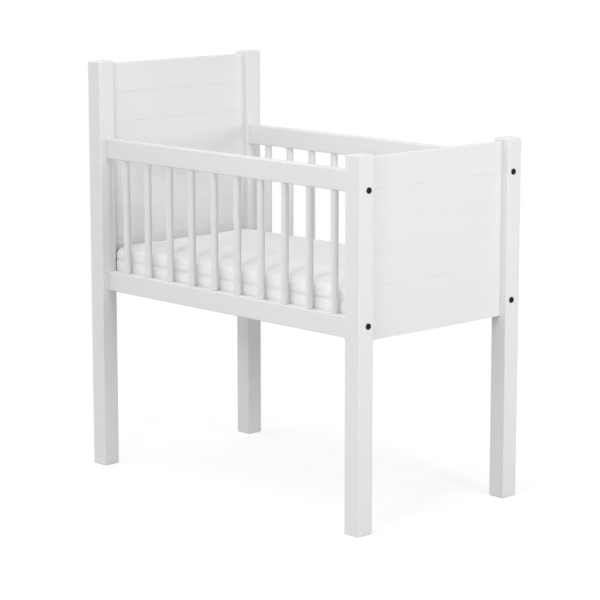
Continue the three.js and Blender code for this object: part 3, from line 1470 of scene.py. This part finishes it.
@dataclass(frozen=True)
class Fastener:
    """A headed fastener whose head looks along +Z, with its underside at the origin."""

    head_diameter: float
    head_height: float
    head_easing: float
    shank_diameter: float
    shank_length: float
    recess: Recess
    recess_size: float
    recess_depth: float
    points: int = 48
    tip_share: float = 0.7
    small_ease_share: float = 0.3
    rim_share: float = 0.06
    cross_arm_share: float = 0.34
    cross_root_share: float = 0.8

    def mesh(self, name: str) -> bpy.types.Mesh:
        """Makes the fastener in one skin, from its tip to the bottom of its recess.

        Args:
            name: The mesh's name.

        Returns:
            The mesh.
        """
        head, shank = self.head_diameter / 2, self.shank_diameter / 2
        top, ease = self.head_height, self.head_easing
        small_ease = self.small_ease_share * ease
        tip_rise = self.small_ease_share * shank
        rim = self.rim_share * self.recess_size
        profile = (
            (self.tip_share * shank, -self.shank_length),
            (shank, -self.shank_length + tip_rise),
            (shank, 0.0),
            (head - small_ease, 0.0),
            (head, small_ease),
            (head, top - ease),
            (head - small_ease, top - small_ease),
            (head - ease, top),
        )
        recess = ((rim, top), (0.0, top - rim), (0.0, top - self.recess_depth))
        rings = [self._ring(self._round_point, *step) for step in profile]
        rings += [self._ring(self._recess_point, *step) for step in recess]
        return lofted(name, rings)

    def _ring(
        self, point: Callable[[int, float, float], Vector], reach: float, height: float
    ) -> Ring:
        """Returns the ring that a rule for its points gives at one height."""
        return [point(index, reach, height) for index in range(self.points)]

    def _angle(self, index: int) -> float:
        """Returns the angle of a point of a ring."""
        return 2 * math.pi * index / self.points

    @staticmethod
    def _off_middle(angle: float, sector: float) -> float:
        """Returns how far an angle is off the middle of its sector."""
        return (angle + sector / 2) % sector - sector / 2

    def _round_point(self, index: int, radius: float, height: float) -> Vector:
        """Returns a point of a round ring."""
        angle = self._angle(index)
        return Vector((radius * math.cos(angle), radius * math.sin(angle), height))

    def _recess_point(self, index: int, grow: float, height: float) -> Vector:
        """Finds a point on the recess's wall.

        Args:
            index: Which point of the ring it is.
            grow: How far outside the wall it lies.
            height: Its height.

        Returns:
            The point.
        """
        angle, half = self._angle(index), self.recess_size / 2
        if self.recess is Recess.HEXAGON:
            radius = half / math.cos(self._off_middle(angle, math.pi / 3))
        else:
            off_arm = abs(self._off_middle(angle, math.pi / 2))
            width = half * self.cross_arm_share
            wall = width / max(math.sin(off_arm), TINY)
            radius = min(half / math.cos(off_arm), wall)
            radius = max(radius, width * math.sqrt(2) * self.cross_root_share)
        return self._round_point(index, radius + grow, height)


@dataclass
class JointHardware:
    """Connector bolts in the posts, and the threaded inserts that they screw into."""

    bolt: Fastener = Fastener(
        head_diameter=0.013,
        head_height=0.002,
        head_easing=0.0006,
        shank_diameter=0.006,
        shank_length=0.06,
        recess=Recess.HEXAGON,
        recess_size=0.004,
        recess_depth=0.0016,
    )

    def build(self) -> None:
        """Makes the bolts of each end and dresses the inserts."""
        pattern = new_object("bolt_pattern", self.bolt.mesh("bolt_pattern"))
        for end in End:
            self._build_bolts(end, pattern)
        discard(pattern)
        for end in End:
            for side in Side:
                for level in Level:
                    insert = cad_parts[f"insert_{end}_{side}_{level}"]
                    insert.material_slots[0].material = PLATED_STEEL.material()

    def _build_bolts(self, end: End, pattern: bpy.types.Object) -> None:
        """Sets out the four bolts of one end.

        Args:
            end: The end of the cradle.
            pattern: One bolt.
        """
        first = Block.of_node(f"bolt_{end}_near_bottom")
        above = Block.of_node(f"bolt_{end}_near_top")
        across = Block.of_node(f"bolt_{end}_far_bottom")
        seat = first.face(Axis.X, end.sign) - end.sign * self.bolt.head_height
        mesh = Patterns.run(
            Patterns.rows_and_columns,
            {
                "Piece": pattern,
                "First": Vector((seat, first.centre.y, first.centre.z)),
                "Columns": 2,
                "Column Step": Vector((0, across.centre.y - first.centre.y, 0)),
                "Rows": 2,
                "Row Step": Vector((0, 0, above.centre.z - first.centre.z)),
                "Turn": (0, end.sign * math.pi / 2, 0),
                "Finish": BLACK_STEEL.material(),
            },
        )
        nodes = [f"bolt_{end}_{side}_{level}" for side in Side for level in Level]
        name = f"bolts_{end}"
        finished_piece(name, smooth_faces(mesh), BLACK_STEEL, nodes)


@dataclass
class SlattedBase:
    """Slats across two cleats under the mattress, with the screws that hold them."""

    slat_count: int = 9
    slat_edge_radius: float = 0.002
    cleat_edge_radius: float = 0.0015
    edge_steps: int = 3
    cleat_screws: int = 5
    cleat_screw_inset: float = 0.06
    slat_screw_inset: float = 0.0065
    slat_screw_spread: float = 0.032
    screw: Fastener = Fastener(
        head_diameter=0.0072,
        head_height=0.0011,
        head_easing=0.0005,
        shank_diameter=0.0035,
        shank_length=0.016,
        recess=Recess.CROSS,
        recess_size=0.0042,
        recess_depth=0.0009,
        points=24,
    )

    def build(self) -> None:
        """Makes the cleats, the slats and the screws."""
        for side in Side:
            node = f"{side}_cleat"
            name = f"cleat_{side}"
            block, radius = Block.of_node(node), self.cleat_edge_radius
            blank = eased_block(name, block, radius, self.edge_steps, Axis.X)
            finished_piece(name, smooth_faces(blank), CLEAT_WOOD, [node])
        self._build_slats()
        pattern = new_object("screw_pattern", self.screw.mesh("screw_pattern"))
        self._build_slat_screws(pattern)
        for side in Side:
            self._build_cleat_screws(side, pattern)
        discard(pattern)

    def _slat_step(self) -> Vector:
        """Returns the way from one slat to the next."""
        first, second = Block.of_node("base_slat_1"), Block.of_node("base_slat_2")
        return second.centre - first.centre

    def _build_slats(self) -> None:
        """Sets out the slats."""
        nodes = [f"base_slat_{index}" for index in range(1, self.slat_count + 1)]
        first = Block.of_node(nodes[0])
        middle = Block(first.low - first.centre, first.high - first.centre)
        plank = eased_block(
            "slat_pattern", middle, self.slat_edge_radius, self.edge_steps, Axis.Y
        )
        pattern = new_object("slat_pattern", plank)
        mesh = Patterns.run(
            Patterns.rows_and_columns,
            {
                "Piece": pattern,
                "First": first.centre,
                "Columns": self.slat_count,
                "Column Step": self._slat_step(),
                "Rows": 1,
                "Finish": SLAT_WOOD.material(),
            },
        )
        discard(pattern)
        finished_piece("base_slats", smooth_faces(mesh), SLAT_WOOD, nodes)

    def _build_slat_screws(self, pattern: bpy.types.Object) -> None:
        """Sets two screws through each end of every slat into the cleats.

        Args:
            pattern: One screw.
        """
        first = Block.of_node("base_slat_1")
        level = first.high.z - self.screw.head_height
        for side in Side:
            edge = first.face(Axis.Y, side.sign)
            start = Vector(
                (
                    first.centre.x - self.slat_screw_spread / 2,
                    edge - side.sign * self.slat_screw_inset,
                    level,
                )
            )
            mesh = Patterns.run(
                Patterns.rows_and_columns,
                {
                    "Piece": pattern,
                    "First": start,
                    "Columns": self.slat_count,
                    "Column Step": self._slat_step(),
                    "Rows": 2,
                    "Row Step": Vector((self.slat_screw_spread, 0, 0)),
                    "Finish": PLATED_STEEL.material(),
                },
            )
            name = f"slat_screws_{side}"
            finished_piece(name, smooth_faces(mesh), PLATED_STEEL, [])

    def _build_cleat_screws(self, side: Side, pattern: bpy.types.Object) -> None:
        """Sets a row of screws through a cleat into its rail.

        Args:
            side: The cleat's side of the cradle.
            pattern: One screw.
        """
        cleat = Block.of_node(f"{side}_cleat")
        inner = cleat.face(Axis.Y, -side.sign)
        run = cleat.size.x - 2 * self.cleat_screw_inset
        mesh = Patterns.run(
            Patterns.rows_and_columns,
            {
                "Piece": pattern,
                "First": Vector(
                    (cleat.low.x + self.cleat_screw_inset, inner, cleat.centre.z)
                ),
                "Columns": self.cleat_screws,
                "Column Step": Vector((run / (self.cleat_screws - 1), 0, 0)),
                "Rows": 1,
                "Turn": (side.sign * math.pi / 2, 0, 0),
                "Finish": PLATED_STEEL.material(),
            },
        )
        name = f"cleat_screws_{side}"
        finished_piece(name, smooth_faces(mesh), PLATED_STEEL, [])


@dataclass(frozen=True)
class CoverCloth:
    """The cover's cloth settings, under the names that the simulation has for them."""

    quality: int = 6
    mass: float = 0.3
    tension_stiffness: float = 12
    compression_stiffness: float = 12
    shear_stiffness: float = 6
    bending_stiffness: float = 0.6
    use_pressure: bool = True
    uniform_pressure_force: float = 4.0
    shrink_min: float = -0.006


@dataclass
class Mattress:
    """A foam mattress in a cotton cover, swelled as cloth and then sewn."""

    node: str = "mattress"
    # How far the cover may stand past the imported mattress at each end, side and top.
    reach: tuple[float, float, float] = (0.0062, 0.0064, 0.002)
    corner_radius: float = 0.0285
    corner_steps: int = 12
    top_radius: float = 0.02
    bottom_radius: float = 0.008
    edge_steps: int = 6
    voxel: float = 0.0064
    soften_factor: float = 0.5
    soften_rounds: int = 4
    # How much of its height over the seam the top loses at the ends and the sides.
    end_fall: float = 0.2
    side_fall: float = 0.06
    fall_power: int = 8
    cloth: CoverCloth = CoverCloth()
    frames: int = 20
    held_height: float = 0.002
    most_swell: float = 0.0025
    # How much of a move inwards is kept.
    draw_in: float = 0.2
    seam_height: float = 0.04
    seam_width: float = 0.0035
    seam_depth: float = 0.0028
    # The largest rise of a normal where the side is upright, and all over the side.
    upright_tilt: float = 0.3
    side_tilt: float = 0.7
    # Where the search for a line on the cover starts outside it, and how far it goes.
    path_start: float = 0.02
    path_reach: float = 0.06
    path_pitch: float = 0.008
    piping_radius: float = 0.0005
    piping_sunk_share: float = 0.3
    piping_facets: int = 8
    stitch_offset: float = 0.004
    stitch_lift: float = 0.0002
    stitch_pitch: float = 0.004
    stitch_length: float = 0.0024
    stitch_thickness: float = 0.0005
    fill: float = 0.9

    def build(self) -> None:
        """Makes the padded form, its seam, its piping and its stitches."""
        packed = Block.of_node(self.node)
        beyond = Vector(self.reach)
        low = packed.low - Vector((beyond.x, beyond.y, 0))
        block = Block(low, packed.high + beyond)
        form = new_object("mattress_form", self._form(block))
        self._remesh(form)
        self._crown(form, block)
        self._swell(form, block)
        self._refine(form)
        self._fill_room(form, block)
        level = self._seam_level(form, block)
        self._press_seam(form, level)
        mesh = form.data
        mesh.shade_smooth()
        cover = finished_piece(
            "mattress_cover", mesh, COVER, [self.node]
        )
        discard(form)
        self._sew(cover, block, level)

    def _outline(self, block: Block, inset: float, height: float) -> Ring:
        """Draws the mattress's outline from above.

        Args:
            block: The room that it fills.
            inset: How far in from that room the outline lies.
            height: The outline's height.

        Returns:
            The points, once round.
        """
        radius = self.corner_radius - inset
        half_x = block.size.x / 2 - inset - radius
        half_y = block.size.y / 2 - inset - radius
        ring = []
        for quarter, (sign_x, sign_y) in enumerate(
            ((1, 1), (-1, 1), (-1, -1), (1, -1))
        ):
            for step in range(self.corner_steps + 1):
                angle = (quarter + step / self.corner_steps) * math.pi / 2
                ring.append(
                    Vector(
                        (
                            block.centre.x + sign_x * half_x + radius * math.cos(angle),
                            block.centre.y + sign_y * half_y + radius * math.sin(angle),
                            height,
                        )
                    )
                )
        return ring

    def _form(self, block: Block) -> bpy.types.Mesh:
        """Makes the form that the simulation starts from, with room left to swell.

        Args:
            block: The room that the mattress fills.

        Returns:
            The mesh.
        """
        bottom, top = block.low.z, block.high.z - self.most_swell
        turns = [
            step / self.edge_steps * math.pi / 2 for step in range(self.edge_steps + 1)
        ]
        rings = []
        for turn in turns:
            inset = self.most_swell + self.bottom_radius * (1 - math.sin(turn))
            height = bottom + self.bottom_radius * (1 - math.cos(turn))
            rings.append(self._outline(block, inset, height))
        for turn in turns:
            inset = self.most_swell + self.top_radius * (1 - math.cos(turn))
            height = top - self.top_radius * (1 - math.sin(turn))
            rings.append(self._outline(block, inset, height))
        return lofted("mattress_form", rings)

    def _remesh(self, form: bpy.types.Object) -> None:
        """Gives the form an even mesh, and smooths the steps that this leaves.

        Args:
            form: The form.
        """
        remesh = form.modifiers.new("even", "REMESH")
        remesh.mode = "VOXEL"
        remesh.voxel_size = self.voxel
        soften = form.modifiers.new("soften", "SMOOTH")
        soften.factor = self.soften_factor
        soften.iterations = self.soften_rounds
        self._apply(form)

    def _crown(self, form: bpy.types.Object, block: Block) -> None:
        """Lets the top fall away towards the ends, and a little towards the sides.

        Args:
            form: The form.
            block: The room that the mattress fills.
        """
        level = block.low.z + self.seam_height
        centre, half = block.centre, block.size / 2
        power = self.fall_power
        for vertex in form.data.vertices:
            lift = vertex.co.z - level
            if lift <= 0:
                continue
            along = min(abs(vertex.co.x - centre.x) / half.x, 1)
            across = min(abs(vertex.co.y - centre.y) / half.y, 1)
            fall = self.end_fall * along**power + self.side_fall * across**power
            vertex.co.z = level + lift * (1 - fall)

    def _refine(self, form: bpy.types.Object) -> None:
        """Subdivides the form once.

        Args:
            form: The form.
        """
        divide = form.modifiers.new("refine", "SUBSURF")
        divide.levels = 1
        divide.render_levels = 1
        self._apply(form)

    @staticmethod
    def _fill_room(form: bpy.types.Object, block: Block) -> None:
        """Widens the form until its sides just reach those of its room.

        Args:
            form: The form.
            block: The room that the mattress fills.
        """
        vertices = form.data.vertices
        for axis in (0, 1):
            middle = block.centre[axis]
            widest = max(abs(vertex.co[axis] - middle) for vertex in vertices)
            grow = block.size[axis] / 2 / widest
            for vertex in vertices:
                vertex.co[axis] = middle + (vertex.co[axis] - middle) * grow

    @staticmethod
    def _apply(form: bpy.types.Object) -> None:
        """Works out the form's modifiers and takes them off.

        Args:
            form: The form.
        """
        mesh = evaluated_mesh(form)
        form.modifiers.clear()
        form.data = mesh

    def _swell(self, form: bpy.types.Object, block: Block) -> None:
        """Swells the cover with cloth under pressure, its underside held on the slats.

        Args:
            form: The evenly meshed form.
            block: The room that it fills.
        """
        before = [vertex.co.copy() for vertex in form.data.vertices]
        outward = [normal.vector.copy() for normal in form.data.vertex_normals]
        held = form.vertex_groups.new(name="held")
        underside = [
            vertex.index
            for vertex in form.data.vertices
            if vertex.co.z < block.low.z + self.held_height
        ]
        held.add(underside, 1.0, "REPLACE")
        cloth = form.modifiers.new("swell", "CLOTH")
        for setting, value in asdict(self.cloth).items():
            setattr(cloth.settings, setting, value)
        cloth.settings.vertex_group_mass = held.name
        cloth.settings.effector_weights.gravity = 0.0
        cloth.point_cache.frame_start = 1
        cloth.point_cache.frame_end = self.frames
        scene = bpy.context.scene
        for step in range(1, self.frames + 1):
            scene.frame_set(step)
        self._apply(form)
        scene.frame_set(1)
        for vertex, start, normal in zip(
            form.data.vertices, before, outward, strict=True
        ):
            move = vertex.co - start
            move -= normal * min(move.dot(normal), 0) * (1 - self.draw_in)
            if move.length > TINY:
                share = math.tanh(move.length / self.most_swell)
                move *= self.most_swell * share / move.length
            vertex.co = start + move
            vertex.co.z = max(vertex.co.z, block.low.z)
        form.vertex_groups.clear()

    def _seam_level(self, form: bpy.types.Object, block: Block) -> float:
        """Finds the row of vertices on the sides that is nearest to the seam.

        Args:
            form: The form.
            block: The room that the mattress fills.

        Returns:
            The height of that row.
        """
        wanted = block.low.z + self.seam_height
        row = [
            vertex.co.z
            for vertex in form.data.vertices
            if abs(vertex.co.z - wanted) < self.voxel / 4
            and abs(vertex.normal.z) < self.upright_tilt
        ]
        return sum(row) / len(row) if row else wanted

    def _press_seam(self, form: bpy.types.Object, level: float) -> None:
        """Draws the cover in along the seam round its side.

        Args:
            form: The form.
            level: The seam's height.
        """
        mesh = form.data
        normals = [normal.vector.copy() for normal in mesh.vertex_normals]
        for vertex, normal in zip(mesh.vertices, normals, strict=True):
            off = abs(vertex.co.z - level)
            if off > self.seam_width or abs(normal.z) > self.side_tilt:
                continue
            share = (1 + math.cos(math.pi * off / self.seam_width)) / 2
            inward = Vector((normal.x, normal.y, 0)).normalized()
            vertex.co -= inward * self.seam_depth * share

    def _sew(self, cover: bpy.types.Object, block: Block, level: float) -> None:
        """Adds piping in the seam and a row of stitches above and below it.

        Args:
            cover: The cover.
            block: The room that the mattress fills.
            level: The seam's height.
        """
        surface = BVHTree.FromObject(cover, bpy.context.evaluated_depsgraph_get())
        sunk = self.piping_radius * self.piping_sunk_share
        self._build_piping(self._path_on(surface, block, level, -sunk))
        seams = [
            self._path_on(surface, block, level + above, self.stitch_lift)
            for above in (-self.stitch_offset, self.stitch_offset)
        ]
        self._build_stitches(seams)

    def _path_on(
        self, surface: BVHTree, block: Block, level: float, stand_off: float
    ) -> Ring:
        """Finds a level path round the mattress, on its surface.

        Args:
            surface: The cover's surface.
            block: The room that the mattress fills.
            level: The path's height.
            stand_off: How far outside the surface the path lies.

        Returns:
            The points, once round.
        """
        outer = self._outline(block.grown(self.path_start), 0.0, level)
        even = self._even_loop(outer, self.path_pitch)
        path = []
        for index, point in enumerate(even):
            outward = self._outward(even, index)
            hit = surface.ray_cast(point, -outward, self.path_reach)[0]
            if hit is not None:
                path.append(hit + outward * stand_off)
        return path

    @staticmethod
    def _outward(loop: Ring, index: int) -> Vector:
        """Returns the level way out of a loop at one of its points."""
        ahead = loop[(index + 1) % len(loop)] - loop[index - 1]
        return Vector((ahead.y, -ahead.x, 0)).normalized()

    @staticmethod
    def _even_loop(corners: Ring, pitch: float) -> Ring:
        """Sets points at an even pitch round a closed outline.

        Args:
            corners: The outline.
            pitch: About how far apart the points are.

        Returns:
            The points.
        """
        made = []
        for first, last in zip(corners, corners[1:] + corners[:1], strict=True):
            count = max(1, round((last - first).length / pitch))
            made += [first.lerp(last, step / count) for step in range(count)]
        return made

    def _build_piping(self, path: Ring) -> None:
        """Makes a thin round cord that follows the seam.

        Args:
            path: The cord's middle, once round the mattress.
        """
        rings = []
        for index, point in enumerate(path):
            outward = self._outward(path, index)
            ring = []
            for step in range(self.piping_facets):
                angle = 2 * math.pi * step / self.piping_facets
                offset = outward * math.cos(angle) + Vector((0, 0, math.sin(angle)))
                ring.append(point + offset * self.piping_radius)
            rings.append(ring)
        mesh = lofted("mattress_piping", rings, closed_ends=False, loop=True)
        mesh.shade_smooth()
        finished_piece("mattress_piping", mesh, PIPING, [])

    def _build_stitches(self, seams: list[Ring]) -> None:
        """Sets a stitch every few millimetres along each line of stitching.

        Args:
            seams: The lines, each once round the mattress.
        """
        curve = bpy.data.curves.new("seam_lines", "CURVE")
        curve.dimensions = "3D"
        for seam in seams:
            spline = curve.splines.new("POLY")
            spline.points.add(len(seam) - 1)
            for point, place in zip(spline.points, seam, strict=True):
                point.co = (*place, 1)
            spline.use_cyclic_u = True
        mesh = Patterns.run(
            Patterns.stitches,
            {
                "Pitch": self.stitch_pitch,
                "Length": self.stitch_length,
                "Thickness": self.stitch_thickness,
                "Finish": THREAD.material(),
            },
            start=new_object("seam_lines", curve),
        )
        mesh.shade_smooth()
        finished_piece("mattress_stitches", mesh, THREAD, [])


@dataclass(frozen=True)
class SoftLamp:
    """A rectangular lamp that looks at the cradle."""

    name: str
    place: tuple[float, float, float]
    size: tuple[float, float]
    power: float
    aim: tuple[float, float, float] = (0, 0, 0.5)

    def build(self) -> None:
        """Hangs the lamp and turns it."""
        lamp = bpy.data.lights.new(self.name, "AREA")
        lamp.shape = "RECTANGLE"
        lamp.size, lamp.size_y = self.size
        lamp.energy = self.power
        made = new_object(self.name, lamp)
        made.location = self.place
        towards = Vector(self.aim) - Vector(self.place)
        made.rotation_euler = towards.to_track_quat("-Z", "Y").to_euler()


@dataclass
class Studio:
    """A white floor, a pale room, soft lamps and the camera."""

    white: Color = grey(1)
    floor_size: float = 30.0
    floor_color: Color = grey(0.55)
    seen_floor_color: Color = grey(1.25)
    floor_glow: float = 0.72
    shadow_reach: Span = (0.9, 2.2)
    room_level: float = 0.655
    room_slope: tuple[float, float, float] = (-0.53, -0.36, -0.05)
    lamps: tuple[SoftLamp, ...] = (
        SoftLamp("key_lamp", (1.1, -2.25, 1.4), (0.4, 0.4), 11.5, (0, 0, 0.55)),
        SoftLamp("foot_end_lamp", (4.2, -0.3, 2.0), (1.2, 0.8), 56.0),
        SoftLamp("far_side_lamp", (3.75, 1.75, 1.1), (1.2, 0.8), 34.5),
        SoftLamp("overhead_lamp", (0, -0.5, 3.2), (1.6, 1.6), 18.0),
    )
    camera_place: tuple[float, float, float] = (3.745, -3.565, 1.356)
    azimuth: float = 46.39
    pitch: float = 10.37
    focal_px: float = 2360.0
    image_px: float = 600.0
    sensor: float = 36.0
    sight: float = 50.0

    def build(self) -> None:
        """Makes the floor, the light and the camera."""
        self._build_floor()
        self._build_world()
        for lamp in self.lamps:
            lamp.build()
        self._build_camera()
        bpy.context.scene.view_settings.view_transform = "Standard"

    def _build_floor(self) -> None:
        """Lays a floor that looks white and keeps the cradle's soft shadow."""
        half = self.floor_size / 2
        corners = [(-half, -half), (half, -half), (half, half), (-half, half)]
        mesh = bpy.data.meshes.new("floor")
        mesh.from_pydata([(x, y, 0.0) for x, y in corners], [], [(0, 1, 2, 3)])
        floor = new_object("floor", mesh)
        material = bpy.data.materials.new("white_floor")
        material.use_nodes = True
        make = NodeMaker(material.node_tree)
        seen = self._seen(make)
        color = make.blend(seen, self.floor_color, self.seen_floor_color)
        plain = make.add("ShaderNodeBsdfDiffuse", {"Color": color})
        glow = make.add("ShaderNodeEmission", {"Color": self.white, "Strength": 1.0})
        place = make.add("ShaderNodeTexCoord").outputs["Object"]
        reach = make.add(
            "ShaderNodeVectorMath", {0: place}, operation="LENGTH"
        ).outputs["Value"]
        near, far = self.shadow_reach
        level = make.add(
            "ShaderNodeMapRange",
            {
                "Value": reach,
                "From Min": near,
                "From Max": far,
                "To Min": self.floor_glow,
                "To Max": 1.0,
            },
            interpolation_type="SMOOTHSTEP",
        ).outputs[0]
        share = make.number("MULTIPLY", seen, level)
        mixed = make.add(
            "ShaderNodeMixShader",
            {0: share, 1: plain.outputs[0], 2: glow.outputs[0]},
        )
        make.add("ShaderNodeOutputMaterial", {"Surface": mixed.outputs[0]})
        mesh.materials.append(material)

    @staticmethod
    def _seen(make: NodeMaker) -> bpy.types.NodeSocket:
        """Tells what the camera sees, also in a mirror or through glass.

        Args:
            make: The node maker of the material or the world.

        Returns:
            A socket that is 1 for what is seen and 0 for what only gives light.
        """
        path = make.add("ShaderNodeLightPath").outputs
        first = make.number("MAXIMUM", path["Is Camera Ray"], path["Is Glossy Ray"])
        return make.number("MAXIMUM", first, path["Is Transmission Ray"])

    def _build_world(self) -> None:
        """Lights the scene from a pale room, and shows white behind it."""
        world = bpy.data.worlds.new("white_room")
        bpy.context.scene.world = world
        world.use_nodes = True
        make = NodeMaker(world.node_tree)
        towards = make.add("ShaderNodeTexCoord").outputs["Generated"]
        slope = make.add(
            "ShaderNodeVectorMath",
            {0: towards, 1: self.room_slope},
            operation="DOT_PRODUCT",
        ).outputs["Value"]
        lit = make.number("ADD", slope, self.room_level)
        lit = make.number("MAXIMUM", lit, 0.0)
        level = make.blend(self._seen(make), lit, 1.0, data_type="FLOAT")
        room = make.add(
            "ShaderNodeBackground", {"Color": self.white, "Strength": level}
        )
        make.add("ShaderNodeOutputWorld", {"Surface": room.outputs[0]})

    def _build_camera(self) -> None:
        """Stands the camera where the photograph was taken from."""
        data = bpy.data.cameras.new("camera")
        data.sensor_width = self.sensor
        data.lens = self.focal_px * self.sensor / self.image_px
        data.clip_end = self.sight
        made = new_object("camera", data)
        turn = (
            Matrix.Rotation(math.radians(self.azimuth), 4, "Z")
            @ Matrix.Rotation(math.radians(90 - self.pitch), 4, "X")
        )
        made.matrix_world = Matrix.Translation(Vector(self.camera_place)) @ turn
        bpy.context.scene.camera = made


def main() -> None:
    """Builds the cradle's pieces in order, and then the studio."""
    logging.basicConfig(level=logging.INFO, format="%(name)s: %(message)s")
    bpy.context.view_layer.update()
    rails, bars = SideRails(), Bars()
    CornerPosts().build(rails)
    BoardedEnds().build()
    rails.build(bars)
    bars.build(rails)
    JointHardware().build()
    SlattedBase().build()
    Mattress().build()
    Studio().build()


if __name__ == "__main__":
    main()
